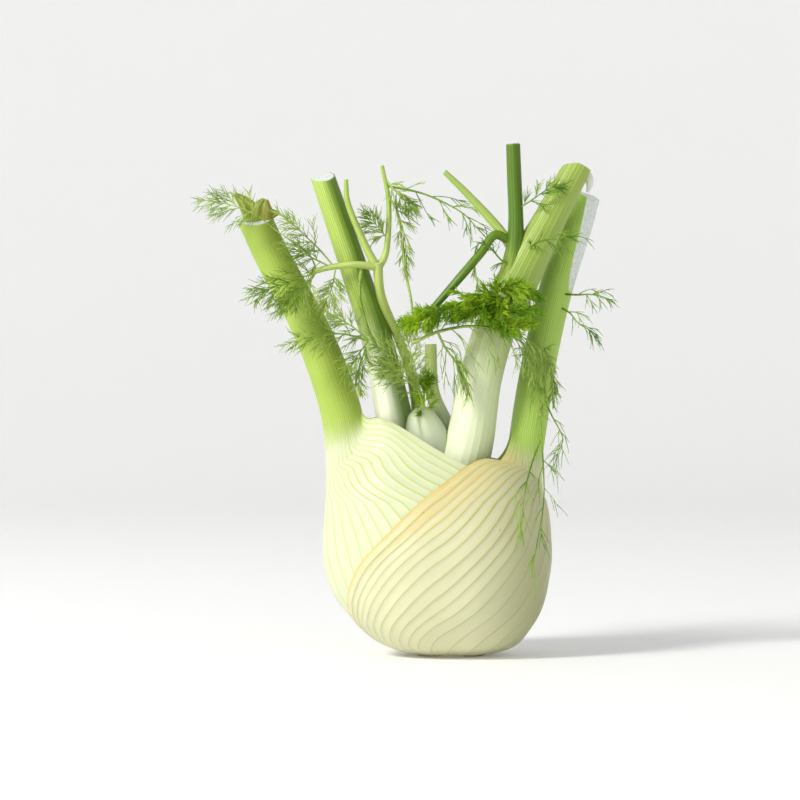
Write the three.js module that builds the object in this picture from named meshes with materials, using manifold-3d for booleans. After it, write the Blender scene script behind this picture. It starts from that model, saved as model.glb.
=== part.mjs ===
// A fennel bulb: five leaves whose fleshy sheaths wrap each other round a trimmed root end, a thin young stem,
// and the sprays of thread-like fronds. Millimetres, +Z up, front towards -Y, origin at the centre of the cut
// root end that the bulb stands on.
import {
  BufferAttribute, BufferGeometry, CatmullRomCurve3, CylinderGeometry, ExtrudeGeometry, Group, Mesh,
  MeshStandardMaterial, Shape, SphereGeometry, Vector2, Vector3,
} from 'three';
import { mergeVertices } from 'three/addons/utils/BufferGeometryUtils.js';
import Module from 'manifold-3d';

const wasm = await Module();
wasm.setup();

// ---------------------------------------------------------------- driving dimensions
const GAP = 0.35;              // clearance between neighbouring pieces
const OUTER_MESH = [24, 16];   // corners round a sheath that shows, and its rings from root end to crown
const INNER_MESH = [16, 11];   // the same for the sheaths that are covered
const SECTION_POWER = 2.2;     // a little fuller than an ellipse
const DEPTH_INSETS = { outer: 0, left: 3.6, thick: 8.5, innerLeft: 13.5, heart: 18.5 };
const EXPOSED_INSET = 0.6;     // how far the left sheath lies below the outer one where it shows
const ROOT_RADIUS = 15.5;      // half width of the cut root end
const ROOT_DEPTH = 12;         // half depth of the cut root end
const ROOT_HEIGHT = 9;

// The bulb's outline at each height: [height, left edge, right edge, half depth].
const BULB_OUTLINE = [
  [0.6, -16, 17, 12.5], [2, -22, 23, 17], [5, -30, 30, 23], [10, -38, 34, 28], [18, -47, 39, 33],
  [28, -54, 43, 37], [42, -58, 45, 39], [54, -57, 45, 38.5], [66, -56, 43, 36], [76, -55, 40, 31],
  [84, -50, 33, 26], [90, -44, 22, 22], [96, -40, 11, 18], [102, -37, -3, 13], [106, -31, -12, 6],
];

// Where each sheath ends, in the front view: [x, z] along its free edge.
const OUTER_EDGE = [
  [42, 84], [24, 85], [14, 88], [5, 86], [-2, 81], [-13, 71], [-26, 59], [-36, 49], [-42, 40], [-46, 31],
  [-46, 24], [-43, 16], [-75, 13],
];
const LEFT_EDGE = [
  [-75, 96], [-38, 94], [-37, 104], [-33, 107], [-25, 104], [-18, 100], [-10, 94], [4, 87], [18, 80], [60, 74],
];

// ---------------------------------------------------------------- geometry to solid and back
function toSolid(geometry) {
  geometry.deleteAttribute('normal');
  geometry.deleteAttribute('uv');
  const merged = mergeVertices(geometry, 1e-4);
  const mesh = new wasm.Mesh({
    numProp: 3,
    vertProperties: Float32Array.from(merged.attributes.position.array),
    triVerts: Uint32Array.from(merged.index.array),
  });
  return new wasm.Manifold(mesh);
}

function toMesh(name, solid, material) {
  const data = solid.getMesh();
  const geometry = new BufferGeometry();
  geometry.setAttribute('position', new BufferAttribute(data.vertProperties, 3));
  geometry.setIndex(new BufferAttribute(data.triVerts, 1));
  geometry.computeVertexNormals();
  const mesh = new Mesh(geometry, material);
  mesh.name = name;
  return mesh;
}

function largest(solid) {
  const pieces = solid.decompose();
  return pieces.reduce((best, piece) => (piece.volume() > best.volume() ? piece : best));
}

// ---------------------------------------------------------------- the bulb's body
const outlineCurve = {
  left: new CatmullRomCurve3(BULB_OUTLINE.map(([z, left]) => new Vector3(left, 0, z))),
  right: new CatmullRomCurve3(BULB_OUTLINE.map(([z, , right, depth]) => new Vector3(right, depth, z))),
};

function bulb(inset, [segments, rings]) {
  const geometry = new SphereGeometry(1, segments, rings);
  geometry.rotateX(-Math.PI / 2);
  const position = geometry.attributes.position;
  for (let i = 0; i < position.count; i += 1) {
    const [x, y, z] = [position.getX(i), position.getY(i), position.getZ(i)];
    const across = Math.hypot(x, y);
    const t = 1 - Math.acos(Math.min(1, Math.max(-1, z))) / Math.PI;
    const left = outlineCurve.left.getPoint(t);
    const right = outlineCurve.right.getPoint(t);
    const centre = (left.x + right.x) / 2;
    const halfWidth = Math.max(0, (right.x - left.x) / 2 - inset);
    const halfDepth = Math.max(0, right.y - inset);
    const height = Math.min(106 - inset, Math.max(0.6 + inset, left.z));
    if (across < 1e-6) {
      position.setXYZ(i, centre, 0, height);
      continue;
    }
    const cos = x / across;
    const sin = y / across;
    const round = Math.pow(Math.abs(cos) ** SECTION_POWER + Math.abs(sin) ** SECTION_POWER, -1 / SECTION_POWER);
    position.setXYZ(i, centre + halfWidth * cos * round, halfDepth * sin * round, height);
  }
  return toSolid(geometry);
}

// Everything below a free edge, from front to back; `grow` moves the edge up and to the left.
function belowEdge(edge, grow) {
  const side = edge[0][0] > 0 ? 90 : -90;
  const shape = new Shape(edge.map(([x, z]) => new Vector2(x, z)));
  shape.lineTo(edge[edge.length - 1][0], -20);
  shape.lineTo(side, -20);
  shape.lineTo(side, edge[0][1]);
  const geometry = new ExtrudeGeometry(shape, { depth: 160, bevelEnabled: false });
  geometry.rotateX(Math.PI / 2);
  geometry.translate(-grow, 80, grow);
  return toSolid(geometry);
}

// ---------------------------------------------------------------- stalks and stems
// A tapering stem along a smooth path: each point is [x, y, z, radius].
function stem(points, grow = 0, sides = 12, steps = 10) {
  const path = new CatmullRomCurve3(points.map(([x, y, z]) => new Vector3(x, y, z)));
  const radii = new CatmullRomCurve3(points.map(([, , , radius], i) => new Vector3(radius, i, 0)));
  const geometry = new CylinderGeometry(1, 1, 1, sides, steps);
  geometry.scale(-1, 1, 1);
  const position = geometry.attributes.position;
  const depthAxis = new Vector3(0, 1, 0);
  for (let i = 0; i < position.count; i += 1) {
    const t = Math.min(1, Math.max(0, position.getY(i) + 0.5));
    const radius = radii.getPoint(t).x + grow;
    const along = path.getTangent(t);
    const across = new Vector3().crossVectors(depthAxis, along).normalize();
    const outward = new Vector3().crossVectors(along, across);
    const overrun = Math.sign(Math.round(t * steps) - steps / 2) * (t === 0 || t === 1 ? grow : 0);
    const place = path.getPoint(t);
    place.addScaledVector(across, position.getX(i) * radius);
    place.addScaledVector(outward, position.getZ(i) * radius);
    place.addScaledVector(along, overrun);
    position.setXYZ(i, place.x, place.y, place.z);
  }
  return toSolid(geometry);
}

function joined(solids) {
  return solids.reduce((whole, solid) => whole.add(solid));
}

// ---------------------------------------------------------------- the leaves
// Each function gives the whole leaf as if its sheath were solid; `grow` swells it by the clearance, so that the
// next leaf out can be hollowed to fit over it.
function heartLeaf(grow) {
  const hood = new SphereGeometry(1, 14, 10);
  hood.scale(9 + grow, 7.5 + grow, 17 + grow);
  hood.translate(-12.5, -5, 94);
  const stalk = stem([[0, 4, 84, 4.5], [-1, 5, 100, 3.6], [-8, 7, 118, 2.8], [-9, 8, 140, 2.4]], grow, 8, 6);
  return joined([bulb(DEPTH_INSETS.heart - grow, INNER_MESH), toSolid(hood), stalk]);
}

function innerLeftLeaf(grow) {
  const stalk = stem([
    [-20, 3, 78, 9], [-25, 2, 105, 8.2], [-33, -1, 141, 6.8], [-41, -3, 166, 6.2], [-48, -4, 187, 5.8],
    [-58, -4, 216, 5.2],
  ], grow);
  return joined([bulb(DEPTH_INSETS.innerLeft - grow, INNER_MESH), stalk]);
}

function thickLeaf(grow) {
  const stalk = stem([
    [2, -3, 70, 12], [9, -5, 100, 10.7], [13, -7, 124, 9.6], [20, -9, 148, 9.2], [31, -11, 171, 9],
    [42, -12, 192, 7.3], [52, -12, 211, 6.4], [57, -12, 220, 5.8],
  ], grow, 14, 12);
  const upright = stem([[27, -12, 176, 3.2], [28.5, -13, 192, 3.2], [27.4, -13, 229, 3]], grow, 8, 4);
  const leftStem = stem([[28, -13, 181, 2.2], [20, -15, 192, 2], [7, -18, 206, 1.5], [-3.5, -20, 216, 1]], grow, 6, 4);
  const droopingStem = stem([
    [28, -13, 184, 2], [19.5, -17, 188, 2], [13, -20, 180, 1.9], [4.6, -22, 170, 1.9], [-8.5, -22, 155, 1.5],
  ], grow, 6, 6);
  return joined([bulb(DEPTH_INSETS.thick - grow, INNER_MESH), stalk, upright, leftStem, droopingStem]);
}

function leftLeaf(grow) {
  const stalk = stem([
    [-44, 0, 66, 9.4], [-47, 0, 93, 8.8], [-51, 0, 114, 8.3], [-60, 0, 139, 8], [-68, 1, 156, 8],
    [-84, 2, 184, 7.8], [-89, 2, 198, 7.6],
  ], grow);
  const underOuter = bulb(DEPTH_INSETS.left - grow, OUTER_MESH);
  const exposed = bulb(EXPOSED_INSET - grow, OUTER_MESH).subtract(belowEdge(OUTER_EDGE, GAP - grow));
  const sheath = underOuter.add(exposed).intersect(belowEdge(LEFT_EDGE, grow));
  return sheath.add(stalk);
}

function outerLeaf(grow) {
  const stalk = stem([
    [29, 3, 60, 8.6], [33, 3, 88, 8.4], [35.5, 4, 106, 8.2], [40, 5, 133, 7.8], [48, 7, 167, 7.6],
    [57, 8, 194, 7.4], [62, 8, 209, 7],
  ], grow);
  return bulb(DEPTH_INSETS.outer - grow, OUTER_MESH).intersect(belowEdge(OUTER_EDGE, grow)).add(stalk);
}

function rootEnd(grow) {
  const geometry = new CylinderGeometry(0.7, 1, 1, 24, 1);
  geometry.rotateX(Math.PI / 2);
  geometry.scale(ROOT_RADIUS + grow, ROOT_DEPTH + grow, ROOT_HEIGHT + 2 * grow);
  geometry.translate(0, 0, ROOT_HEIGHT / 2);
  return toSolid(geometry);
}

function thinStem(grow) {
  const main = stem([
    [-15, 9, 96, 2.4], [-16, 8, 115, 2.2], [-21, 3, 136, 2.1], [-31, -7, 160, 2], [-33, -11, 176, 2],
  ], grow, 6, 6);
  const upLeft = stem([[-33, -10, 173, 2], [-39, -11, 185, 1.6], [-46, -12, 202, 1.3], [-47, -12, 213, 0.9]], grow, 5, 4);
  const left = stem([[-32, -10, 174, 1.8], [-43, -14, 175, 1.5], [-53, -13, 174, 1.3], [-62, -11, 172, 1]], grow, 5, 4);
  const upRight = stem([[-33, -10, 173, 1.8], [-29, -8, 182, 1.4], [-28, -4, 203, 1.1], [-31, -2, 220, 0.8]], grow, 5, 4);
  return joined([main, upLeft, left, upRight]);
}

// ---------------------------------------------------------------- the fronds
// A spray: a stem along its path, and leaflets in pairs that leave it to both sides and bend with `droop`.
const FRONDS = {
  frond_left_tip: { path: [[-86, 0, 196], [-94, -9, 203], [-106, -13, 208], [-116, -14, 211]], reach: 13 },
  frond_upper_left: { path: [[-60, -11, 172.4], [-62, -14, 183], [-67, -17, 193], [-73, -18, 202]], reach: 15 },
  frond_mid_left: { path: [[-55, -13, 173.6], [-66, -17, 168], [-80, -20, 164], [-92, -21, 161]], reach: 16 },
  frond_lower_left: {
    path: [[-44, -14, 175], [-41, -17, 158], [-38, -19, 143], [-52, -22, 140], [-74, -24, 143]], reach: 14,
  },
  frond_upper_middle: { path: [[-28.5, -4, 207], [-23, -6, 197], [-19, -7, 186], [-15, -8, 174]], reach: 12 },
  frond_arch: { path: [[-29, -3, 211], [-12, -6, 207], [4, -9, 199], [14, -10, 189]], reach: 10 },
  frond_centre_left: { path: [[-12, -7, 108], [-19, -17, 124], [-31, -22, 132], [-46, -23, 134]], reach: 14 },
  frond_heart: { path: [[-12, -5, 108], [-12, -8, 116], [-11, -10, 121], [-10, -11, 125]], reach: 8 },
  frond_dense: { path: [[24, -11, 157], [16, -24, 164], [4, -27, 160], [-8, -28, 153]], reach: 15 },
  frond_hanging_arc: { path: [[19, -10, 148], [7, -22, 147], [-8, -25, 142], [-22, -24, 137]], reach: 11 },
  frond_over_branch: { path: [[32, -14, 178], [37, -23, 184], [46, -25, 186], [55, -24, 187]], reach: 9 },
  frond_behind_stem: { path: [[28, -13, 200], [36, -20, 205], [44, -22, 210], [53, -22, 213]], reach: 10 },
  frond_right: { path: [[47, 6, 163], [56, -4, 162], [64, -8, 160], [73, -9, 160]], reach: 10 },
  frond_right_stalk: { path: [[40, 4, 141], [39, -6, 136], [41, -9, 126], [42, -10, 116]], reach: 9 },
  frond_bulb_right: { path: [[35, 4, 114], [40, -8, 104], [41, -17, 84], [40, -23, 68], [36, -31, 42]], reach: 11 },
};
const LEAFLET_PAIRS = 3;
const FROND_STEM_RADIUS = 0.9;
const LEAFLET_RADIUS = 0.6;

function frond({ path, reach }, grow) {
  const radii = [1, 0.9, 0.8, 0.6].map((share) => share * FROND_STEM_RADIUS);
  const solids = [stem(path.map((point, i) => [...point, radii[i]]), grow, 5, 5)];
  const curve = new CatmullRomCurve3(path.map((point) => new Vector3(...point)));
  for (let i = 0; i < 2 * LEAFLET_PAIRS; i += 1) {
    const t = 0.25 + (0.65 * i) / (2 * LEAFLET_PAIRS);
    const base = curve.getPoint(t);
    const along = curve.getTangent(t);
    const side = new Vector3(-along.z, 0, along.x).multiplyScalar(i % 2 === 0 ? 1 : -1);
    const length = reach * (1 - 0.5 * t);
    const tip = base.clone().addScaledVector(side, 0.8 * length).addScaledVector(along, 0.5 * length);
    solids.push(stem([[...base, LEAFLET_RADIUS], [...tip, 0.5 * LEAFLET_RADIUS]], grow, 3, 1));
  }
  return joined(solids);
}

// ---------------------------------------------------------------- assembly
function skin(color, roughness) {
  return new MeshStandardMaterial({ color, roughness, metalness: 0 });
}

const pieces = [
  ['root_end', rootEnd, skin(0xd9cfa6, 0.7)],
  ['heart_leaf', heartLeaf, skin(0xdfe6cf, 0.45)],
  ['inner_left_leaf', innerLeftLeaf, skin(0xcfdc94, 0.4)],
  ['thick_leaf', thickLeaf, skin(0xe6efc8, 0.4)],
  ['left_leaf', leftLeaf, skin(0xdde8b0, 0.4)],
  ['outer_leaf', outerLeaf, skin(0xe4dfae, 0.4)],
  ['thin_stem', thinStem, skin(0xa9bd5e, 0.45)],
  ...Object.entries(FRONDS).map(([name, spray]) => [name, (grow) => frond(spray, grow), skin(0x5d9a22, 0.5)]),
];

// From the inside out, each piece is hollowed or notched to clear the ones already in place.
const fennel = new Group();
const inPlace = [];
for (const [name, make, material] of pieces) {
  let solid = make(0);
  for (const other of inPlace) {
    solid = solid.subtract(other);
  }
  fennel.add(toMesh(name, largest(solid), material));
  inPlace.push(make(GAP));
}

export default fennel;
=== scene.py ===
# %% [markdown]
# # A fennel bulb
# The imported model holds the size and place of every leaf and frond. This lesson gives them their real
# surface: ribbed sheaths that wrap each other, striped stalks with cut tops, and hundreds of green threads.
# %% Load the frame
import math
import random

import bmesh
import bpy
import numpy as np
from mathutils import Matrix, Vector


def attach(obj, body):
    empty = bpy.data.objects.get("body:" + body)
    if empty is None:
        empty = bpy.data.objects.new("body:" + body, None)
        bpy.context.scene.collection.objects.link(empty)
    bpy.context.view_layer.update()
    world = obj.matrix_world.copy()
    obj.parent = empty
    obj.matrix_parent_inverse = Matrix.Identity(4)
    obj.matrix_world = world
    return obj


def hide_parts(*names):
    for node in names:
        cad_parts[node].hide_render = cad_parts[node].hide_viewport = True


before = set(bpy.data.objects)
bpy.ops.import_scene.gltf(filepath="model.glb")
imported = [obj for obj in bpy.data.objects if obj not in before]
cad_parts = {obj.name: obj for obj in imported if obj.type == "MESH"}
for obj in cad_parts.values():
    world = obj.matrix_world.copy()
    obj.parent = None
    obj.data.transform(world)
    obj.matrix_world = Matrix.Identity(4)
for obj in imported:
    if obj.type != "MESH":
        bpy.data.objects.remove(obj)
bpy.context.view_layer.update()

MM = 0.001
print("nodes in the frame:", len(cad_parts))

# %% [markdown]
# ## A smooth line through a few points
# Every shape here starts from a short list of given points: the outline of the bulb, the free edge
# of a sheath, the middle of a stalk. A Catmull-Rom curve passes through all of them and bends softly in
# between, so a handful of points is enough. It works on whole arrays at once, because the sheaths have many
# vertices.
# %% Curves through points
def through(points):
    """The smooth curve through the points, as a function that takes 0 at the first and 1 at the last."""
    knots = np.asarray(points, float)
    padded = np.vstack([2 * knots[0] - knots[1], knots, 2 * knots[-1] - knots[-2]])
    spans = len(knots) - 1

    def at(t):
        x = np.clip(np.asarray(t, float), 0, 1) * spans
        i = np.minimum(x.astype(int), spans - 1)
        f = (x - i)[..., None]
        a, b, c, d = padded[i], padded[i + 1], padded[i + 2], padded[i + 3]
        bend = (2 * a - 5 * b + 4 * c - d) * f ** 2 + (3 * b - a - 3 * c + d) * f ** 3
        return 0.5 * (2 * b + (c - a) * f + bend)

    return at


def smoothstep(low, high, x):
    t = np.clip((x - low) / (high - low), 0, 1)
    return t * t * (3 - 2 * t)


print("a quarter along a bent line:", through([(0, 0), (1, 1), (2, 0)])(0.25))

# %% [markdown]
# ## The body of the bulb
# All the sheaths are layers of one swollen body, so one outline serves them all, each layer a little
# further in. The body is wider than it is deep, flat under the root and drawn in round the stalks. A
# section is a superellipse, a shade fuller than an ellipse, as a real bulb's is where the flat leaf bases
# press together.
# %% The outline, bottom to top: height, left edge, right edge, half depth
OUTLINE = through([
    [1.3, -0.2, 0.2, 0.2], [1.1, -9, 9, 7], [1.1, -16, 17, 12.5], [2.4, -23, 24, 18], [5.2, -30.5, 29.8, 24],
    [10, -38, 34.2, 29], [18, -47, 39.4, 34], [28, -54, 43, 37.3], [42, -58, 45.2, 39],
    [54, -57.8, 45, 38.2], [66, -56.8, 43.6, 35.3], [76, -56.2, 41.2, 31], [84, -53, 36, 26.5],
    [90, -47.5, 27, 23], [96, -44, 15, 19], [102, -41.5, 2, 14.5], [107, -40, -8, 11.5],
    [112, -39.5, -12, 10],
])
FULLNESS = 2.2  # the power of the superellipse, 2 for a plain ellipse
SAMPLES = np.linspace(0, 1, 400)
RISING = 60     # the samples before this one lie under the root, where the outline doesn't rise
HEIGHTS = np.maximum.accumulate(OUTLINE(SAMPLES)[:, 0])


def on_body(t, turn, depth):
    """Points on the body: t from root to crown, turn anticlockwise from the right through the front."""
    z, left, right, half_depth = np.moveaxis(OUTLINE(t), -1, 0)
    half = np.maximum((right - left) / 2 - depth, 0.02)
    deep = np.maximum(half_depth - depth, 0.02)
    cos, sin = np.cos(turn), np.sin(turn)
    x = (left + right) / 2 + half * np.sign(cos) * np.abs(cos) ** (2 / FULLNESS)
    y = -deep * np.sign(sin) * np.abs(sin) ** (2 / FULLNESS)
    return np.stack([x, y, z + depth * (1 - smoothstep(0.0, 0.42, t))], -1)


def share_at(height):
    """How far up the outline a height lies, 0 at the root and 1 at the crown."""
    return np.interp(height, HEIGHTS[RISING:], SAMPLES[RISING:])


def turn_at(x, height):
    """The turn at which the body's front passes x at a height."""
    _, left, right, _ = OUTLINE(share_at(height))
    across = np.clip((x - (left + right) / 2) / ((right - left) / 2), -1, 1)
    return math.acos(np.sign(across) * abs(across) ** (FULLNESS / 2))


print("body half way up:", np.round(OUTLINE(0.5), 1))

# %% [markdown]
# ## Leaves that wrap
# A fennel leaf is one piece: a sheath that goes right round the bulb, thick in the middle and thin at its
# free edges, and a stalk in which the two edges have grown together. So each leaf is one sheet, rolled up:
# the grid operator makes a flat sheet, its columns run round the leaf and its rows run from the root to the
# cut top. Following the ribs with the columns keeps every rib sharp, which no boolean or remesh would.
#
# Columns: most lie on the outside, from the back free edge over the leaf's middle to the front one, and the
# rest come back along the inside. Rows: the sheath, then a soft change to the stalk, then the cut end,
# whose rows shrink to a point.
# %% The guides of a leaf
OUTLINE_LENGTH = 130  # millimetres from root to crown, roughly
MEAN_RADIUS = 30      # millimetres, so that a turn counts as a length, too


def edge_guide(edge, side, foot):
    """How the free edge climbs: its share of the outline and its turn from the leaf's middle."""
    shares = [0.0, 0.10] + [share_at(z) for _, z in edge]
    turns = [turn_at(x, z) for x, z in edge]
    if side < 0:
        turns = [math.pi - turn for turn in turns]
    line = np.column_stack([shares, [foot, foot] + turns])
    climbed, turned = np.diff(line, axis=0).T
    walked = np.r_[0, np.cumsum(np.hypot(OUTLINE_LENGTH * climbed, MEAN_RADIUS * turned))]
    even = np.linspace(0, walked[-1], 60)
    line = np.column_stack([np.interp(even, walked, column) for column in line.T])
    for _ in range(14):
        line[1:-1] = (line[:-2] + 2 * line[1:-1] + line[2:]) / 4
    return through(line)


OUTER_EDGE = edge_guide([
    (-44.6, 18), (-46.8, 24), (-46, 31), (-42, 40), (-36, 49), (-26, 59), (-13, 71), (-2, 80.5),
    (5, 86), (11, 89.5), (17, 90.5), (21.5, 88),
], 1, 2.95)
LEFT_EDGE = edge_guide([
    (39, 18), (45, 36), (45, 48), (43, 57), (37, 65), (27, 73.5), (16, 80.5), (4, 87), (-3, 90.5),
    (-10, 94.5), (-17, 100), (-23, 104.4), (-29, 106.8), (-34.5, 107),
], -1, math.pi)
print("the outer leaf's edge starts at turn", round(float(OUTER_EDGE(0)[1]), 2))


# %% [markdown]
# ## Ribs
# The veins of a sheath are raised ribs, some 6 to 10 mm apart, and they run on into the stalk as its fine
# stripes. A rib number that grows by one from each rib to the next carries them: the mesh is raised where the
# number is whole, and the material later draws the coloured vein at the same place. A slow warp keeps the
# spacing uneven.
# %% Rib numbers and their relief
def rib_number(across, ribs):
    warp = 0.22 * np.sin(5.1 * across + ribs) + 0.12 * np.sin(13.0 * across + 2.0)
    return ribs * across + warp


def rib_relief(number, sheath):
    """Millimetres over the smooth leaf: thin ribs and slow swells on the sheath, stripes on the stalk."""
    off = number - np.round(number)
    own = 0.7 + 0.4 * np.sin(7.3 * np.round(number) + 1.0)
    ridge = 0.21 * own * np.exp(-((off / 0.10) ** 2))
    bank = 0.08 * np.cos(2 * math.pi * (number - 0.12))
    swell = 0.10 * np.sin(math.pi * number * 0.61 + 0.6)
    stripes = 0.035 * np.cos(4 * math.pi * number) + 0.03 * np.sin(1.7 * math.pi * number + 1)
    return sheath * (ridge + bank + swell) + (1 - sheath) * stripes


print("a rib stands", round(float(rib_relief(3.0, 1) - rib_relief(3.3, 1)), 2), "mm over the flesh beside it")

# %% [markdown]
# ## Which way a stalk faces
# A stalk is a row of rings on a bent line. Each ring needs its centre, its radius and two directions across
# the line. They are worked out from the line's heading and the world's own back, so the rings never twist
# and the front of every stalk stays in front. A curve with a bevel would be quicker, but it twists where it
# bends.
# %% Stations along a stalk
def frame_along(path, t):
    """Centre, radius and the two cross directions (to the right, to the front) of a stem at shares t."""
    rows = path(t)
    ahead = path(np.clip(t + 0.004, 0, 1))[..., :3] - path(np.clip(t - 0.004, 0, 1))[..., :3]
    along = ahead / np.linalg.norm(ahead, axis=-1, keepdims=True)
    right = np.cross(np.array([0.0, 1.0, 0.0]), along)
    right /= np.linalg.norm(right, axis=-1, keepdims=True)
    front = -np.cross(along, right)
    return rows[..., :3], rows[..., 3:4], along, right, front


print("a straight stem faces:", frame_along(through([(0, 0, 0, 1), (0, 0, 9, 1)]), np.array([0.5]))[4])

# %% [markdown]
# ## Rolling the sheet
# `add_sheet` lays a flat grid into a mesh, asks a function where each vertex goes, and welds what has met:
# the first column to the last, and the row that shrinks to a point. The same call makes the leaves, the
# thin stems and the root end, so every one of them is a closed skin.
#
# Each vertex keeps four marks for the materials: its rib number, how far it is from the free edge, how far
# up the leaf it is (the sheath ends at 1), and whether it lies on a cut.
# %% A flat grid, placed and welded
MARKS = ("rib", "edge", "along", "cut")
SHARP = 40  # degrees, past which an edge such as the rim of a cut isn't smoothed over


def add_sheet(mesh, around, along, place):
    layers = [mesh.verts.layers.float.get(mark) or mesh.verts.layers.float.new(mark) for mark in MARKS]
    verts = bmesh.ops.create_grid(mesh, x_segments=around, y_segments=along, size=0.5)["verts"]
    flat = np.array([vert.co[:2] for vert in verts])
    flat = (flat - flat.min(0)) / (flat.max(0) - flat.min(0))
    points, marks = place(flat[:, 0], flat[:, 1])
    for i, vert in enumerate(verts):
        vert.co = points[i] * MM
        for layer, values in zip(layers, marks):
            vert[layer] = values[i]
    bmesh.ops.remove_doubles(mesh, verts=verts, dist=1e-7)


def finish_piece(name, mesh, node, materials):
    bmesh.ops.recalc_face_normals(mesh, faces=mesh.faces)
    data = bpy.data.meshes.new(name)
    mesh.to_mesh(data)
    mesh.free()
    data.shade_smooth()
    data.set_sharp_from_angle(angle=math.radians(SHARP))
    for material in materials:
        data.materials.append(material)
    piece = bpy.data.objects.new(name, data)
    bpy.context.scene.collection.objects.link(piece)
    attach(piece, "root")
    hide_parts(node)
    print(name, "has", len(data.polygons), "faces")


print("marks on each vertex:", MARKS)

# %% [markdown]
# ## Cut ends
# Every stalk was cut off with a knife, some straight and some slanting, and the right one has a long slice
# off its side that bares the pith. A boolean would leave a ragged seam and lose the stripes. Here the
# points that stick out over the knife's plane are pushed back to it, so the rows and columns of the skin
# stay in order.
# %% Knife cuts
def slant(stalk, tilt_right, tilt_front, below=0.0):
    """A straight cut across the top of a stalk: it takes off what lies above a tilted plane."""
    centre, _, way, _, _ = frame_along(through(stalk), np.array([1.0]))
    start = centre[0] - way[0] * below
    normal = way[0] + np.array([tilt_right, -tilt_front, 0.0])

    def cut(points, along, rise):
        above = np.maximum((points - start) @ normal, 0) / (along @ normal)
        return points - along * above[:, None]

    return cut


def cut_centre(path, cut):
    """The middle of the cut end."""
    centre, _, along, _, _ = frame_along(path, np.array([1.0]))
    return cut(centre, along, np.array([1.0]))[0] if cut is not None else centre[0]


def slice_off(points, rise, centre, radius, right, front, shave):
    """A long slice off one side, deeper towards the top: the moved points, and 1 where the pith is bared."""
    turned, start, deepest = shave
    toward = math.cos(turned) * right + math.sin(turned) * front
    gone = deepest * np.clip((rise - start) / (1 - start), 0, 1) ** 0.7
    over_plane = np.sum((points - centre) * toward, axis=1) - (radius[:, 0] - gone)
    pared = np.where((over_plane > 0) & (rise > start), 1.0, 0.0)
    return points - toward * (pared * over_plane)[:, None], pared


SHORT_STEM = [(0, 0, 0, 1), (0, 0, 9, 1)]
KNIFE = slant(SHORT_STEM, 0.0, 0.0, 2.0)
print("a 9 mm stem cut 2 mm below its top ends at", cut_centre(through(SHORT_STEM), KNIFE)[2], "mm")

# %% [markdown]
# ## One leaf
# Below the shoulder a row of the sheet lies on the body, above it on a circle round the stalk's middle
# line, and in between it moves from one to the other. The free edges make the move last, which leaves the
# collar standing in front of the next stalk. The inside of the sheet follows at the leaf's thickness, and
# in the stalk it closes to the shallow channel that fennel stalks have on their inner side.
# %% The sheet of one leaf
OUTSIDE = 0.86           # share of the columns on the outside
CUT_START = 0.955        # rows above this share make the cut end
SHEATH_TOP = 1.0         # the step at which the sheath is fully grown
LEAF_TOP = 2.3           # the step at which the stalk ends
SHOULDER = (0.62, 1.36)  # the steps between which the sheath becomes the stalk
NECK = 70                # height in millimetres where the body starts to narrow
CHANNEL = 0.30           # half width of the channel, in radians
MIDDLE = (-8.0, 0.0)     # the axis that the collars bulge away from


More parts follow.
